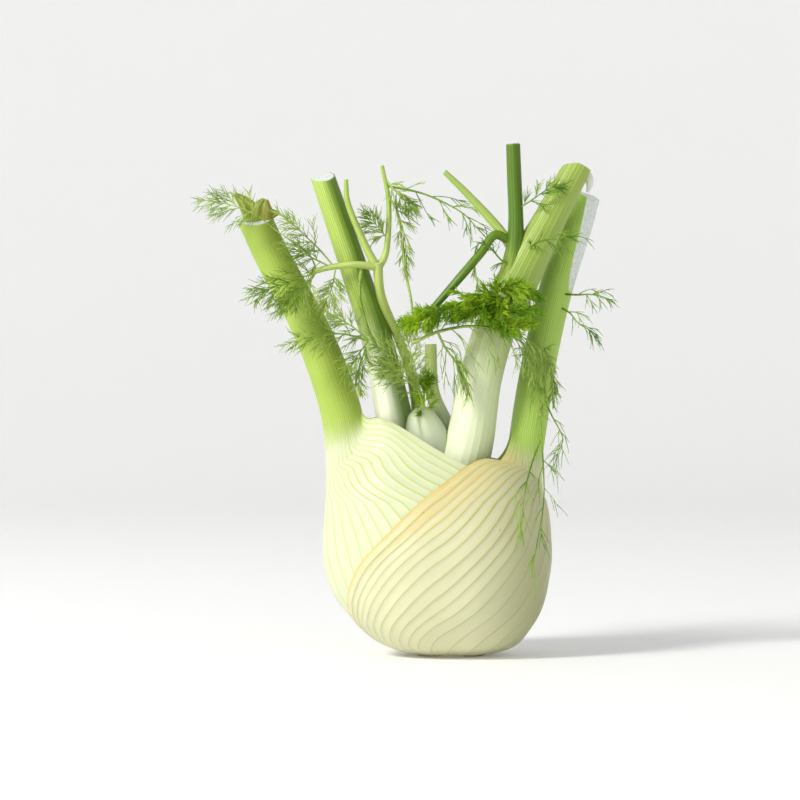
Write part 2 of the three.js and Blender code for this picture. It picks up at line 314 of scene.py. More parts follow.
def leaf_sheet(side, depth, thickness, edge, stalk, stalk_start, ribs, cut, shave=None, sweep=0.0):
    """A function that places the sheet of one leaf, for add_sheet.

    side is 1 for a stalk on the right and -1 for one on the left. depth is how far the sheath lies inside the
    outline, thickness how thick its middle is, and sweep how far its ribs swing over towards the foot.
    """
    path = through(stalk)

    def place(u, v):
        outside = u <= OUTSIDE
        across = np.where(outside, 2 * u / OUTSIDE - 1, 1 - 2 * (u - OUTSIDE) / (1 - OUTSIDE))
        middle = 1 - across ** 2
        lean = np.abs(across) ** 1.5
        step = LEAF_TOP * np.minimum(v / CUT_START, 1) ** 1.15
        share, turn = np.moveaxis(edge(np.minimum(step, SHEATH_TOP)), -1, 0)
        level = share - 0.92 * np.maximum(share - share_at(NECK), 0) * (1 - lean)
        beta = smoothstep(SHOULDER[0] + 0.36 * lean, SHOULDER[1], step)

        number = rib_number(across, ribs)
        fade = smoothstep(0.02, 0.2, level) * (1 - smoothstep(0.93, 1.0, np.abs(across)))
        fade = fade * (1 - 0.75 * smoothstep(0.55, 1.0, step) * (1 - smoothstep(1.3, 1.5, step)))
        relief = np.where(outside, rib_relief(number, 1 - beta) * fade, 0)

        rim = np.sqrt(np.clip(1 - np.abs(across) ** 60, 0, 1))
        thick = np.where(outside, 0, (0.9 + thickness * middle) * rim * smoothstep(0, 0.12, level))
        height = OUTLINE(level)[:, 0]
        facing = smoothstep(-0.8, 0.3, across)
        swept = across + sweep * (1 - np.clip(height / 80, 0, 1)) * middle * facing
        angle = swept * turn if side > 0 else math.pi - swept * turn
        angle = angle + 0.8 * sweep * (1 - smoothstep(0, 24, height)) * facing
        layer = depth(level, angle) if callable(depth) else depth
        on_sheath = on_body(level, angle, layer + thick - relief)

        rise = np.interp(step, (SHOULDER[0], SHOULDER[1], LEAF_TOP), (0, stalk_start, 1))
        rise = np.clip(rise + 0.14 * lean * (1 - smoothstep(1.3, LEAF_TOP, step)), 0, 1)
        centre, radius, along, right, front = frame_along(path, rise)
        theta = np.where(outside, across * (math.pi - CHANNEL), math.pi - CHANNEL * across)
        reach = (radius[:, 0] * (1 - np.where(outside, 0, 0.10 * middle)) + relief)[:, None]
        on_stalk = centre + reach * (np.cos(theta)[:, None] * right * side + np.sin(theta)[:, None] * front)
        pared = np.zeros_like(u)
        if shave is not None:
            on_stalk, pared = slice_off(on_stalk, rise, centre, radius, right, front, shave)
        on_stalk = cut(on_stalk, along, rise)

        points = on_sheath + (on_stalk - on_sheath) * beta[:, None]
        away = points[:, :2] - np.array(MIDDLE)
        away /= np.linalg.norm(away, axis=1, keepdims=True) + 1e-6
        points[:, :2] += away * (8 * beta * (1 - beta) * lean)[:, None]
        closing = np.clip((v - CUT_START) / (1 - CUT_START), 0, 1)
        points += (cut_centre(path, cut) - points) * closing[:, None]
        on_cut = np.maximum(np.where(closing > 0.02, 1.0, 0.0), pared)
        return points, (number, 1 - np.abs(across), step, on_cut)

    return place


print("share of the columns outside:", OUTSIDE, "and of the rows below the cut:", CUT_START)

# %% [markdown]
# ## Where the leaves go
# The outer leaf grows on the right and its sheath crosses the whole front, with its free edge running down
# to the lower left. The left leaf lies under it. Where the outer sheath covers it the left one lies deeper,
# and where it comes out it swells back to the surface, so its depth is a function of the place on the body.
# %% How deep the left sheath lies
EDGE_STEPS = OUTER_EDGE(np.linspace(0, 1, 200))


def left_depth(level, angle):
    edge_turn = np.interp(level, EDGE_STEPS[:, 0], EDGE_STEPS[:, 1])
    covered = np.abs(np.arctan2(np.sin(angle), np.cos(angle))) / edge_turn
    depth = 1.25 + 2.4 * smoothstep(1.0, 0.62, covered) - 0.9 * smoothstep(1.02, 1.5, covered)
    return np.where(level > 0.93, np.minimum(depth, 0.6), depth)


print("depth under the outer sheath and beside it:", left_depth(0.5, np.array([0.5, 3.1])).round(2), "mm")

# %% [markdown]
# ## The middle lines of the stalks
# Each stalk follows a few points, with a radius at each one. The first points of the outer and the left
# stalk lie inside the body, because the sheath leaves the body little by little before it is a stalk. The
# radius drops where a branch leaves, as it does on the plant.
# %% Stalk middle lines: right, back, up, radius
OUTER_STALK = [
    (29, 3, 62, 9.2), (32.6, 3, 88, 8.6), (35.5, 4, 106, 8.3), (40, 5, 133, 7.9), (48, 7, 167, 7.7),
    (57, 8, 194, 7.5), (62, 8, 209, 7.2),
]
LEFT_STALK = [
    (-44.8, 0, 66, 12), (-45.8, 0, 90, 10.5), (-49.8, 0, 112, 9.4), (-58.9, 0, 138, 8.7), (-68, 1, 157, 8.2),
    (-80, 2, 179, 8.0), (-89, 2, 198, 7.8),
]
THICK_STALK = [
    (0, -2, 62, 14), (5, -4, 84, 11.8), (9, -5, 100, 10.6), (13, -7, 124, 9.6), (20, -9, 148, 9.3),
    (31, -11, 171, 9.2), (42, -12, 192, 7.4), (52, -12, 211, 6.5), (57, -12, 220, 5.9),
]
INNER_LEFT_STALK = [
    (-20, 3, 78, 9.6), (-25, 2, 105, 8.2), (-33, -1, 141, 6.9), (-41, -3, 166, 6.3), (-48, -4, 187, 5.9),
    (-58, -4, 216, 5.3),
]
HEART_STALK = [(2, 4, 84, 5.2), (-1, 5, 100, 4.2), (-8, 7, 118, 3.1), (-9, 8, 140, 2.6)]
print("the thick stalk is", 2 * THICK_STALK[4][3], "mm thick half way up")

# %% [markdown]
# ## Stems and stalks that stand inside the collars
# Where a leaf's sheath is hidden, only its stalk is worth a fine skin. A plain stem is the same rolled
# sheet round a path, closed to a point at the foot and to a flat cut at the top. Its rib numbers keep the
# fine stripes. flat presses a stem from front to back, and crease gives the hood the dent in its front.
# %% The sheet of a stem
FOOT = 0.04                          # rows below this share close the foot
CREASE_TURN, CREASE_WIDTH = 1.7, 0.16  # radians


def stem_sheet(points, ribs, cut=None, head=0.95, flat=0.0, crease=0.0):
    path = through(points)

    def place(u, v):
        grown = np.clip((v - FOOT) / (head - FOOT), 0, 1)
        centre, radius, along, right, front = frame_along(path, grown)
        theta = 2 * math.pi * u
        number = ribs * 2 * u
        stripes = 0.05 * np.cos(2 * math.pi * number) + 0.05 * np.sin(0.7 * math.pi * number)
        dent = np.exp(-(((theta - CREASE_TURN) / CREASE_WIDTH) ** 2)) * smoothstep(0.2, 0.7, grown)
        reach = radius[:, 0] * (1 - flat * np.sin(theta) ** 2) + stripes - crease * dent
        across = np.cos(theta)[:, None] * right + np.sin(theta)[:, None] * front
        points = centre + reach[:, None] * across
        if cut is not None:
            points = cut(points, along, grown)
        closing = np.clip((v - head) / (1 - head), 0, 1)
        opening = 1 - np.clip(v / FOOT, 0, 1)
        to_top = (cut_centre(path, cut) - points) * closing[:, None]
        to_foot = (path(0.0)[:3] - points) * opening[:, None]
        step = SHEATH_TOP + (LEAF_TOP - SHEATH_TOP) * grown
        on_cut = np.where(closing > 0.02, 1.0, 0.0)
        return points + to_top + to_foot, (number, 0.5 + 0.5 * np.cos(theta), step, on_cut)

    return place


print("rows that close a stem's foot:", FOOT)

# %% [markdown]
# ## Wiring materials
# A node tree is easier to read as sums and products than as dozens of boxes and links. `put` makes a node
# and sets or links its sockets, and the others name what it is used for here: arithmetic, a soft ramp
# between two values, a mix of two colours, noise, and a mark that the mesh carries.
# %% Node helpers
def put(tree, kind, values=None, **settings):
    made = tree.nodes.new(kind)
    for key, value in settings.items():
        setattr(made, key, value)
    for socket, value in (values or {}).items():
        if isinstance(value, bpy.types.NodeSocket):
            tree.links.new(value, made.inputs[socket])
        else:
            made.inputs[socket].default_value = value
    return made


def calc(tree, operation, *values):
    return put(tree, "ShaderNodeMath", dict(enumerate(values)), operation=operation).outputs[0]


def times(tree, first, *others):
    for other in others:
        first = calc(tree, "MULTIPLY", first, other)
    return first


def plus(tree, first, *others):
    for other in others:
        first = calc(tree, "ADD", first, other)
    return first


def ramp(tree, value, low, high, to_low=0.0, to_high=1.0):
    values = {0: value, 1: low, 2: high, 3: to_low, 4: to_high}
    return put(tree, "ShaderNodeMapRange", values, interpolation_type="SMOOTHSTEP").outputs[0]


def tint(tree, factor, first, second, mode="MIX"):
    colors = {0: factor, 6: first, 7: second}
    return put(tree, "ShaderNodeMix", colors, data_type="RGBA", blend_type=mode).outputs[2]


def object_place(tree):
    return put(tree, "ShaderNodeTexCoord").outputs["Object"]


def noise(tree, place, scale, detail):
    return put(tree, "ShaderNodeTexNoise", {"Vector": place, "Scale": scale, "Detail": detail}).outputs[0]


def mark(tree, name):
    return put(tree, "ShaderNodeAttribute", attribute_name=name).outputs["Fac"]


def streaks(tree, across, along, detail=3.0):
    """Noise drawn out along the ribs: many changes from rib to rib, few from root to tip."""
    drawn = {0: times(tree, mark(tree, "rib"), across), 1: times(tree, mark(tree, "along"), along)}
    return noise(tree, put(tree, "ShaderNodeCombineXYZ", drawn).outputs[0], 1.0, detail)


def new_group(name, inputs, outputs):
    tree = bpy.data.node_groups.new(name, "ShaderNodeTree")
    for label, kind, value in inputs:
        socket = tree.interface.new_socket(label, in_out="INPUT", socket_type=kind)
        socket.default_value = value
    for label, kind in outputs:
        tree.interface.new_socket(label, in_out="OUTPUT", socket_type=kind)
    return tree, tree.nodes.new("NodeGroupInput").outputs, tree.nodes.new("NodeGroupOutput").inputs


COLOR, FLOAT = "NodeSocketColor", "NodeSocketFloat"
print("sockets of the groups:", COLOR, "and", FLOAT)

# %% [markdown]
# ## The flesh of a leaf
# All the leaves share one effect: nearly white flesh at the root that turns green up the stalk, a coloured
# vein on each rib with a soft halo of vein colour, which on one side of the rib is painted shadow of the
# raised rib, and faint fibre streaks between the veins. It is one node group, and each leaf gives it its
# own colours and the heights between which it greens. Height is the Object coordinate's Z, the vein is
# where the rib number is whole, so it always sits on the raised rib of the mesh.
# %% Flesh group
def make_flesh():
    tree, given, out = new_group("leaf flesh", [
        ("White", COLOR, (0.89, 0.93, 0.74, 1)), ("Green", COLOR, (0.4, 0.55, 0.1, 1)),
        ("Vein", COLOR, (0.6, 0.7, 0.2, 1)), ("Root vein", COLOR, (0.66, 0.72, 0.42, 1)),
        ("Green from", FLOAT, 0.09), ("Green to", FLOAT, 0.13), ("Vein strength", FLOAT, 0.6),
        ("Vein width", FLOAT, 0.12), ("Stripe strength", FLOAT, 0.35),
    ], [("Color", COLOR), ("Roughness", FLOAT), ("Height", FLOAT), ("Greenness", FLOAT)])
    place = object_place(tree)
    height = put(tree, "ShaderNodeSeparateXYZ", {0: place}).outputs[2]
    rib = mark(tree, "rib")
    along = mark(tree, "along")
    patches = noise(tree, place, 55.0, 3.0)
    fibre = streaks(tree, 5.0, 2.2)
    fine = streaks(tree, 16.0, 9.0)

    wander = times(tree, calc(tree, "SUBTRACT", fibre, 0.5), 0.04)
    collar = ramp(tree, along, 0.95, 1.4, -0.014, 0.0)
    greened = plus(tree, height, wander, collar)
    greenness = ramp(tree, greened, given["Green from"], given["Green to"])
    flesh = tint(tree, greenness, given["White"], given["Green"])

    off = calc(tree, "PINGPONG", rib, 0.5)
    vein = ramp(tree, off, 0.0, given["Vein width"], 1.0, 0.0)
    # Painted shadow: vein colour fades out across the band on one side of each rib, where the raised rib's
    # shadow falls.
    rib_shadow_side = ramp(tree, calc(tree, "FRACT", rib), 0.0, 0.5, 1.0, 0.0)
    halo_and_rib_shadow = calc(tree, "MAXIMUM", rib_shadow_side, ramp(tree, off, 0.0, 0.25, 1.0, 0.0))
    halo_and_rib_shadow = times(tree, halo_and_rib_shadow, ramp(tree, height, 0.03, 0.085, 0.05, 0.42))
    sheath = ramp(tree, along, 1.0, 1.35, 1.0, 0.0)
    uneven = ramp(tree, fibre, 0.25, 0.7, 0.45, 1.05)
    vein_share = plus(tree, times(tree, vein, 0.8), halo_and_rib_shadow)
    vein_share = times(tree, vein_share, uneven, sheath, given["Vein strength"])
    vein_color = tint(tree, ramp(tree, height, 0.012, 0.078), given["Root vein"], given["Vein"])
    flesh = tint(tree, calc(tree, "MINIMUM", vein_share, 1.0), flesh, vein_color)

    strand = ramp(tree, calc(tree, "PINGPONG", times(tree, rib, 2.0), 0.5), 0.1, 0.45)
    stripe = ramp(tree, plus(tree, strand, fine), 0.6, 1.4)
    stripe = times(tree, stripe, given["Stripe strength"], calc(tree, "SUBTRACT", 1.0, sheath), greenness)
    light = tint(tree, 0.5, flesh, (0.80, 0.92, 0.45, 1))
    flesh = tint(tree, stripe, flesh, light)

    shade = plus(tree, times(tree, patches, 0.14), times(tree, fine, 0.16), 0.85)
    bright = put(tree, "ShaderNodeCombineColor", {0: shade, 1: shade, 2: shade}).outputs[0]
    relief = plus(tree, times(tree, fine, 0.5), times(tree, vein, 0.4), times(tree, patches, 0.3))
    tree.links.new(tint(tree, 1.0, flesh, bright, "MULTIPLY"), out["Color"])
    tree.links.new(ramp(tree, fine, 0.3, 0.7, 0.30, 0.44), out["Roughness"])
    tree.links.new(relief, out["Height"])
    tree.links.new(greenness, out["Greenness"])
    return tree


FLESH = make_flesh()
print("nodes in the flesh group:", len(FLESH.nodes))

# %% [markdown]
# ## The dried edge of the outer leaf, and painted shade
# The outer sheath is the oldest leaf. Its free edge has dried to a tan strip with burnt spots and short
# rusty streaks. Low on the right its skin is darkened to a dull olive green, which is painted shade on the
# side away from the lamp. The distance from the free edge is a mark on the mesh, so the strip follows the
# edge wherever it bends. A mask laid on from one side would smear.
# %% Painted shade low on the right, and dried edge
# Painted shade: the outer sheath's skin darkens to a dull olive low on its right side, away from the lamp.
def painted_shade_low_right(tree, color, place):
    across, _, height = put(tree, "ShaderNodeSeparateXYZ", {0: place}).outputs
    low = ramp(tree, height, 0.075, 0.015, 0.45, 0.85)
    sheath = ramp(tree, mark(tree, "along"), 0.9, 1.1, 1.0, 0.0)
    painted_shade_share = times(tree, ramp(tree, across, 0.004, 0.044), low, sheath)
    return tint(tree, painted_shade_share, color, (0.29, 0.30, 0.12, 1))


def dried_edge(tree, color, place, amount):
    edge = mark(tree, "edge")
    height = put(tree, "ShaderNodeSeparateXYZ", {0: place}).outputs[2]
    sheath = ramp(tree, mark(tree, "along"), 1.0, 1.2, 1.0, 0.0)
    reach = ramp(tree, height, 0.025, 0.078, 0.04, 0.46)
    strip = times(tree, ramp(tree, calc(tree, "DIVIDE", edge, reach), 0.0, 1.0, 1.0, 0.0), sheath)
    blush = times(tree, strip, ramp(tree, streaks(tree, 1.6, 3.0), 0.30, 0.66, 0.25, 1.0), amount)
    color = tint(tree, blush, color, (0.68, 0.55, 0.20, 1))
    rim = times(tree, ramp(tree, edge, 0.0, 0.022, 1.0, 0.0), sheath)
    burnt = times(tree, rim, ramp(tree, noise(tree, place, 60.0, 3.0), 0.46, 0.60), 0.7)
    color = tint(tree, burnt, color, (0.64, 0.30, 0.06, 1))
    near = times(tree, ramp(tree, edge, 0.05, 0.20, 1.0, 0.0), sheath)
    rust = times(tree, ramp(tree, streaks(tree, 20.0, 14.0, 2.0), 0.61, 0.70), near, 0.8)
    return tint(tree, rust, color, (0.66, 0.29, 0.05, 1))


print("the dried strip needs the marks edge, along and rib, out of", MARKS)

# %% [markdown]
# ## A leaf's material
# The flesh group feeds a Principled shader with a little light passing through the skin, because wet leaf
# flesh is translucent. On a leaf, the side of the stalk that faces the middle of the bulb is deepened to a
# darker green, partly its own colour and partly painted shade where the stalks shade each other. On a stem,
# the right side takes another tone, partly its own and partly painted shade on the side away from the lamp.
# Small brown specks are scattered over everything, and where the mesh is marked as cut the skin gives way
# to pale, rough pith.
# %% Leaf material
def leaf_material(name, values, dried=0.0, side_tone_and_shade=None, inner_green_and_shade=None):
    material = bpy.data.materials.new(name)
    material.use_nodes = True
    tree = material.node_tree
    shader = tree.nodes["Principled BSDF"]
    flesh = put(tree, "ShaderNodeGroup", node_tree=FLESH)
    for label, value in values.items():
        flesh.inputs[label].default_value = value
    color = flesh.outputs["Color"]
    place = object_place(tree)
    # A leaf with a dried edge also gets the painted shade low on its right side.
    if dried:
        color = dried_edge(tree, painted_shade_low_right(tree, color, place), place, dried)
    if inner_green_and_shade is not None:
        # Partly painted shade: the side of the stalk facing the middle of the bulb darkens, where the stalks
        # shade each other.
        inner = ramp(tree, mark(tree, "edge"), 0.12, 0.62, 1.0, 0.0)
        inner = times(tree, inner, ramp(tree, mark(tree, "along"), 1.3, 1.6), flesh.outputs["Greenness"])
        color = tint(tree, times(tree, inner, inner_green_and_shade[1]), color, inner_green_and_shade[0])
    if side_tone_and_shade is not None:
        # Partly painted shade: the right side of a stem, away from the lamp, takes another tone.
        side = ramp(tree, mark(tree, "edge"), 0.30, 0.80)
        color = tint(tree, times(tree, side, side_tone_and_shade[1]), color, side_tone_and_shade[0])
    spots = put(tree, "ShaderNodeTexVoronoi", {"Vector": place, "Scale": 60.0, "Randomness": 1.0})
    speck = ramp(tree, spots.outputs["Distance"], 0.016, 0.04, 1.0, 0.0)
    color = tint(tree, times(tree, speck, 0.45), color, (0.30, 0.17, 0.05, 1))
    cut = mark(tree, "cut")
    grain = noise(tree, place, 700.0, 3.0)
    pith = tint(tree, ramp(tree, grain, 0.35, 0.65), (0.60, 0.65, 0.58, 1), (0.74, 0.78, 0.76, 1))
    rough = calc(tree, "MAXIMUM", flesh.outputs["Roughness"], times(tree, cut, 0.8))
    relief = plus(tree, flesh.outputs["Height"], times(tree, cut, grain, 2.0))
    bump = put(tree, "ShaderNodeBump", {"Height": relief, "Strength": 0.35, "Distance": 0.0004})
    tree.links.new(tint(tree, cut, color, pith), shader.inputs["Base Color"])
    tree.links.new(rough, shader.inputs["Roughness"])
    tree.links.new(bump.outputs[0], shader.inputs["Normal"])
    shader.inputs["Subsurface Weight"].default_value = 0.2
    shader.inputs["Subsurface Radius"].default_value = (0.6, 1.0, 0.35)
    shader.inputs["Subsurface Scale"].default_value = 0.002
    shader.inputs["Specular IOR Level"].default_value = 0.32
    print(name, "has", len(tree.nodes), "nodes")
    return material


# %% [markdown]
# ## A skin for each leaf
# The same flesh takes very different colours: cream and yellow green for the outer leaves, which saw the
# sun, nearly white for the ones that grew in the dark inside the collars, and a deep green for the youngest
# stems. Green from and Green to are heights in metres.
# %% The skins
OUTER_SKIN = leaf_material("outer_leaf_skin", {
    "White": (0.67, 0.665, 0.43, 1), "Green": (0.34, 0.53, 0.065, 1), "Vein": (0.50, 0.43, 0.09, 1),
    "Root vein": (0.46, 0.50, 0.24, 1), "Green from": 0.066, "Green to": 0.096, "Vein strength": 0.95,
    "Vein width": 0.10, "Stripe strength": 0.45,
}, dried=0.85, inner_green_and_shade=((0.10, 0.20, 0.01, 1), 0.55))
LEFT_SKIN = leaf_material("left_leaf_skin", {
    "White": (0.65, 0.685, 0.45, 1), "Green": (0.345, 0.475, 0.06, 1), "Vein": (0.46, 0.57, 0.14, 1),
    "Root vein": (0.50, 0.58, 0.28, 1), "Green from": 0.084, "Green to": 0.108, "Vein strength": 0.8,
    "Vein width": 0.12, "Stripe strength": 0.2,
}, inner_green_and_shade=((0.17, 0.22, 0.01, 1), 0.65))
DRY_TIP_SKIN = leaf_material("dry_tip_skin", {
    "White": (0.22, 0.28, 0.02, 1), "Green": (0.20, 0.25, 0.02, 1), "Vein": (0.3, 0.25, 0.05, 1),
    "Green from": 0.190, "Green to": 0.210, "Vein strength": 0.3,
}, side_tone_and_shade=((0.26, 0.17, 0.03, 1), 0.35))
THICK_SKIN = leaf_material("thick_leaf_skin", {
    "White": (0.76, 0.81, 0.57, 1), "Green": (0.25, 0.36, 0.035, 1), "Vein": (0.6, 0.7, 0.25, 1),
    "Green from": 0.112, "Green to": 0.172, "Vein strength": 0.4, "Stripe strength": 0.3,
}, side_tone_and_shade=((0.38, 0.50, 0.12, 1), 0.40))
INNER_LEFT_SKIN = leaf_material("inner_left_leaf_skin", {
    "White": (0.90, 0.93, 0.72, 1), "Green": (0.36, 0.50, 0.06, 1), "Vein": (0.6, 0.7, 0.25, 1),
    "Green from": 0.118, "Green to": 0.160, "Vein strength": 0.4, "Stripe strength": 0.6,
}, side_tone_and_shade=((0.10, 0.20, 0.004, 1), 0.9))
HEART_SKIN = leaf_material("heart_leaf_skin", {
    "White": (0.52, 0.58, 0.40, 1), "Green": (0.46, 0.56, 0.20, 1), "Vein": (0.6, 0.68, 0.35, 1),
    "Green from": 0.104, "Green to": 0.118, "Vein strength": 0.4,
})
STEM_SKIN = leaf_material("green_stem_skin", {
    "White": (0.48, 0.58, 0.15, 1), "Green": (0.28, 0.43, 0.05, 1), "Vein": (0.5, 0.6, 0.2, 1),
    "Green from": 0.150, "Green to": 0.230, "Vein strength": 0.3,
}, side_tone_and_shade=((0.50, 0.62, 0.20, 1), 0.4))
DARK_STEM_SKIN = leaf_material("dark_stem_skin", {
    "White": (0.34, 0.45, 0.06, 1), "Green": (0.08, 0.17, 0.002, 1), "Vein": (0.2, 0.3, 0.05, 1),
    "Green from": 0.162, "Green to": 0.190, "Vein strength": 0.3, "Stripe strength": 0.08,
}, side_tone_and_shade=((0.05, 0.12, 0.002, 1), 0.5))
DROOPING_SKIN = leaf_material("drooping_stem_skin", {
    "White": (0.08, 0.17, 0.008, 1), "Green": (0.12, 0.23, 0.01, 1), "Vein": (0.2, 0.3, 0.05, 1),
    "Green from": 0.150, "Green to": 0.200, "Vein strength": 0.3, "Stripe strength": 0.08,
})
PITH_SKIN = leaf_material("torn_pith_skin", {
    "White": (0.78, 0.80, 0.74, 1), "Green": (0.74, 0.77, 0.66, 1), "Vein": (0.6, 0.6, 0.4, 1),
    "Green from": 0.150, "Green to": 0.200, "Vein strength": 0.1, "Stripe strength": 0.1,
})


# %% [markdown]
# ## The leaves themselves
# Every leaf is one object: its rolled sheet, and where the stalk branches, the stems that leave it, each a
# closed skin that starts inside the stalk.
# %% Build a leaf from its sheets
def build_leaf(name, node, sheets, materials):
    mesh = bmesh.new()
    for number, (around, along, place) in enumerate(sheets):
        before = len(mesh.faces)
        add_sheet(mesh, around, along, place)
        mesh.faces.ensure_lookup_table()
        for face in mesh.faces[before:]:
            face.material_index = min(number, len(materials) - 1)
    return finish_piece(name, mesh, node, materials)


# %% [markdown]
# ## The outer leaf
# Its sheath is the front of the bulb. It has fourteen ribs to each side of its middle, and they swing from the
# stalk down to the lower left. The slice off its stalk is given as the direction it faces, where it starts
# and how deep it gets at the top.
# %% Outer leaf
OUTER_CUT = slant(OUTER_STALK, 0.25, 0.3, 1)
OUTER_SLICE = (math.radians(32), 0.66, 3.4)
OUTER_SHEET = leaf_sheet(1, 0.0, 2.3, OUTER_EDGE, OUTER_STALK, 0.22, 14, OUTER_CUT, OUTER_SLICE, 0.38)
build_leaf("outer_leaf_skin", "outer_leaf", [(330, 170, OUTER_SHEET)], [OUTER_SKIN])

# %% [markdown]
# ## The left leaf
# It lies under the outer one and shows on the upper left and the back. Its stalk snapped instead of being
# cut, so three dry, olive scraps stand up from the broken end. They are flattened stems that run to a
# point, which gives them two faces and a thin edge with no extra work.
# %% Left leaf
LEFT_CUT = slant(LEFT_STALK, 0.3, 0.5, 1)
LEFT_SHEET = leaf_sheet(-1, left_depth, 2.6, LEFT_EDGE, LEFT_STALK, 0.20, 17, LEFT_CUT, sweep=0.12)
FLAP = [(-86, 1, 190, 5.0), (-88.5, 0, 197, 4.8), (-92.5, -1, 203, 3.2), (-97.5, -2, 207.5, 0.8)]
LOBE = [(-86, 1, 188, 5.8), (-85.4, 0, 196, 5.6), (-84.6, -1, 201.5, 4.4), (-83.4, -1, 205.3, 1.4)]
BEAK = [(-86, 0, 194, 5.0), (-81.8, -0.5, 198, 3.0), (-77.4, -1, 199, 0.8)]
build_leaf("left_leaf_skin", "left_leaf", [
    (340, 170, LEFT_SHEET),
    (32, 24, stem_sheet(FLAP, ribs=3, flat=0.78)),
    (32, 24, stem_sheet(LOBE, ribs=3, flat=0.7)),
    (32, 24, stem_sheet(BEAK, ribs=3, flat=0.6)),
], [LEFT_SKIN, DRY_TIP_SKIN])

# %% [markdown]
# ## The thick leaf and its stems
# The thick stalk is one leaf with three younger stems: one upright, one to the left and one that droops in
# front. Each starts inside the stalk that bears it, so the join needs no fillet. A curl of torn pith hangs
# over its cut end.
# %% The thick leaf
TORN_PITH = [
    (54, -9, 209, 2.2), (58.2, -9, 215, 2.6), (61, -9, 214.6, 2.1), (61.8, -9, 211.2, 1.5),
    (60.8, -9, 207.5, 0.5),
]
UPRIGHT_STEM = [
    (23, -11, 154, 4.6), (26, -13.4, 170, 4.9), (28.2, -14.6, 183, 3.9), (28.6, -14.5, 196, 3.3),
    (28, -14, 212, 3.2), (27.4, -14, 229, 3.1),
]
LEFT_STEM = [(28, -13, 181, 2.4), (20, -15, 192, 2.1), (7, -18, 206, 1.6), (-3.5, -20, 216, 1.1)]
DROOPING_STEM = [
    (28, -13, 184, 2.2), (19.5, -17, 188, 2.0), (13, -20, 180, 1.9), (4.6, -22, 170, 1.9),
    (-8.5, -22, 155, 1.5),
]
build_leaf("thick_leaf_skin", "thick_leaf", [
    (160, 150, stem_sheet(THICK_STALK, ribs=11, cut=slant(THICK_STALK, -0.42, -0.25, 2))),
    (40, 70, stem_sheet(UPRIGHT_STEM, ribs=4)),
    (24, 50, stem_sheet(LEFT_STEM, ribs=2)),
    (24, 60, stem_sheet(DROOPING_STEM, ribs=2)),
    (24, 20, stem_sheet(TORN_PITH, ribs=3, flat=0.4)),
], [THICK_SKIN, DARK_STEM_SKIN, STEM_SKIN, DROOPING_SKIN, PITH_SKIN])

# %% [markdown]
# ## The inner left leaf
# Only its stalk shows, white at the foot where the left leaf's collar kept the light away, and half yellow
# green, half deep green above. That split is partly its own colour and partly painted shade on its right
# side, away from the lamp, laid on by the side tone of its skin.
# %% The inner left leaf
build_leaf("inner_left_leaf_skin", "inner_left_leaf", [
    (150, 140, stem_sheet(INNER_LEFT_STALK, ribs=9, cut=slant(INNER_LEFT_STALK, 0.2, 0.5, 1))),
], [INNER_LEFT_SKIN])

# %% [markdown]
# ## The heart leaf
# The youngest sheath is a small pale hood with a dent in its front, and its own short stalk rises behind
# it. A rounded top is safer than a rolled sheet here, because the opening is smaller than the sheet is
# thick.
# %% The heart leaf: hood and stalk
HOOD = [
    (-9, -3, 80, 10.5), (-10, -4, 90, 10.4), (-11.2, -4.8, 98, 9.8), (-12.9, -5, 105, 7.6),
    (-14.0, -5, 109.4, 5.2), (-14.6, -5, 111.4, 2.2),
]
build_leaf("heart_leaf_skin", "heart_leaf", [
    (90, 80, stem_sheet(HOOD, ribs=5, head=0.9, flat=0.15, crease=1.2)),
    (60, 60, stem_sheet(HEART_STALK, ribs=4)),
], [HEART_SKIN])

# %% [markdown]
# ## The thin branching stem
# One slim stem forks into three at a single joint. Its branches start a little inside the stem's end, where
# the three skins hide each other's feet.
# %% The thin branching stem
THIN_STEM = [
    (-15, 9, 92, 2.6), (-16, 8, 115, 2.2), (-21, 3, 136, 2.1), (-31, -7, 160, 2), (-33, -11, 176, 2.2),
]
THIN_BRANCHES = [
    [(-33, -10, 173, 2.1), (-39, -11, 185, 1.6), (-46, -12, 202, 1.3), (-47, -12, 213, 0.9)],
    [(-32, -10, 174, 1.9), (-43, -14, 175, 1.5), (-53, -13, 174, 1.3), (-62, -11, 172, 1.0)],
    [(-33, -10, 173, 1.9), (-29, -8, 182, 1.4), (-28, -4, 203, 1.1), (-31, -2, 220, 0.8)],
]
build_leaf("thin_stem_skin", "thin_stem", [
    (28, 60, stem_sheet(path, ribs=2)) for path in [THIN_STEM] + THIN_BRANCHES
], [STEM_SKIN])

# %% [markdown]
# ## The cut root end
# Underneath, the root was trimmed flat. What is left is a tough pale disc with rings and a dark, corky rim.
# It is the face that the bulb stands on, so its lowest ring keeps the frame's height of zero.
# %% Root end
ROOT_RADIUS, ROOT_DEPTH = 15.5, 12.0


def root_sheet(u, v):
    profile = through([(0, 0), (0.5, 0), (0.93, 0), (1.0, 0.5), (0.99, 1.5), (0.8, 2.6), (0, 3.2)])(v)
    theta = 2 * math.pi * u
    wave = 1 + 0.02 * np.sin(5 * theta) + 0.012 * np.sin(11 * theta + 1)
    x = ROOT_RADIUS * profile[:, 0] * wave * np.cos(theta)
    y = ROOT_DEPTH * profile[:, 0] * wave * np.sin(theta)
    return np.stack([x, y, profile[:, 1]], -1), (theta, v, v, v * 0)


